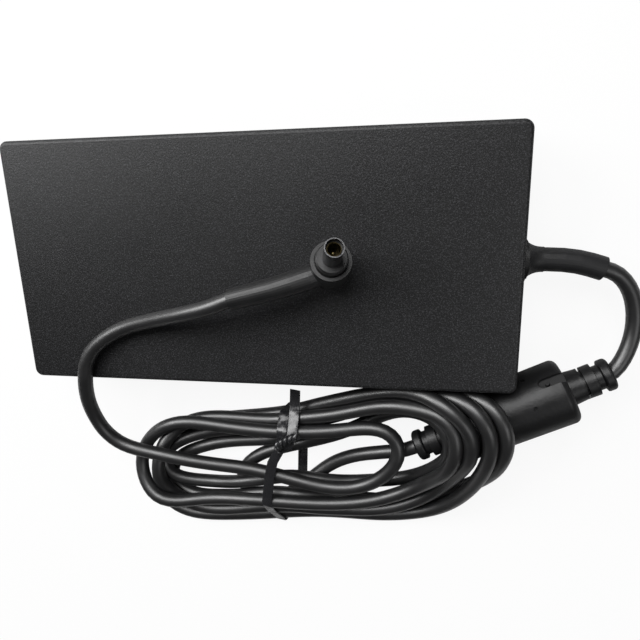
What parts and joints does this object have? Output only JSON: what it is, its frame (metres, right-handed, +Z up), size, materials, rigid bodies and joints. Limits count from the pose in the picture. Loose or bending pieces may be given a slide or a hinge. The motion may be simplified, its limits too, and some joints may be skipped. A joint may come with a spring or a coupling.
{
  "type": "laptop power adapter",
  "caption": "Flat black mains power adapter with a recessed mains inlet and a tied hank of output cord with a ferrite, ending in a right-angle barrel plug.",
  "frame": {"origin": "centre of the case's bottom face, on the surface it stands on", "axes": "+X along the case towards the end where the output cord leaves, +Y across the case away from the tied hank, +Z up"},
  "size_m": [0.2212, 0.1595, 0.0521],
  "materials": {
    "case_plastic": "fine-textured black moulding",
    "inlet_plastic": "smooth black moulding",
    "tinned_metal": "tinned or nickel-plated brass",
    "wire_insulation": "flexible insulation",
    "gland_rubber": "satin moulded boot",
    "cord_jacket": "satin flexible jacket",
    "ferrite_moulding": "satin black moulding",
    "ferrite": "dull grey sintered ferrite",
    "tie_plastic": "thin plastic-covered wire tie",
    "plug_moulding": "satin moulded boot",
    "barrel_metal": "dark smooth plated sleeve with a bright rim",
    "contact_metal": "gold-plated",
    "insulator_plastic": "black moulding",
    "board": "glass-fibre board with green mask",
    "sheet": "thin insulating film",
    "shield_metal": "plain sheet",
    "pad": "soft heat-conducting pad",
    "fuse_body": "ceramic tube with metal caps",
    "blue_disc": "dipped coating",
    "yellow_case": "moulded capacitor case",
    "red_case": "dipped film capacitor",
    "green_core": "coated ring core",
    "yellow_core": "coated ring core",
    "copper_wire": "enamelled copper windings",
    "wound_coil": "windings under insulating tape",
    "black_package": "moulded power package",
    "can_sleeve": "sleeved can",
    "can_metal": "bare can"
  },
  "bodies": {
    "root": {"top_cover": "case_plastic", "bottom_cover": "case_plastic", "inlet_housing": "inlet_plastic", "inlet_line_blade": "tinned_metal", "inlet_neutral_blade": "tinned_metal", "inlet_earth_blade": "tinned_metal", "inlet_wires": "wire_insulation", "cord_gland": "gland_rubber", "cord_gland_run": "cord_jacket", "ferrite_cover": "ferrite_moulding", "ferrite_core": "ferrite", "cord_core_run": "cord_jacket", "cord_ferrite_run": "cord_jacket", "cord_hank": "cord_jacket", "cable_tie": "tie_plastic", "cord_plug_run": "cord_jacket", "plug_boot": "plug_moulding", "plug_barrel": "barrel_metal", "plug_insulator": "insulator_plastic", "plug_contact": "contact_metal", "plug_centre_pin": "contact_metal", "main_board": "board", "insulation_sheet": "sheet", "lower_shield": "shield_metal", "upper_shield": "shield_metal", "thermal_pads": "pad", "fuse": "fuse_body", "varistor": "blue_disc", "x_capacitor": "yellow_case", "line_choke_core": "green_core", "line_choke_windings": "copper_wire", "y_capacitors": "blue_disc", "bridge_rectifier": "black_package", "boost_choke_core": "ferrite", "boost_choke_coil": "wound_coil", "bulk_capacitors": "can_sleeve", "primary_heatsink": "shield_metal", "primary_transistors": "black_package", "resonant_capacitor": "red_case", "transformer_core": "ferrite", "transformer_coil": "wound_coil", "secondary_heatsink": "shield_metal", "secondary_rectifiers": "black_package", "output_capacitors": "can_metal", "output_choke_core": "yellow_core", "output_choke_coil": "copper_wire", "control_board": "board", "optocouplers": "black_package", "heatsink_screws": "tinned_metal", "output_wires": "wire_insulation"}
  },
  "joints": []
}
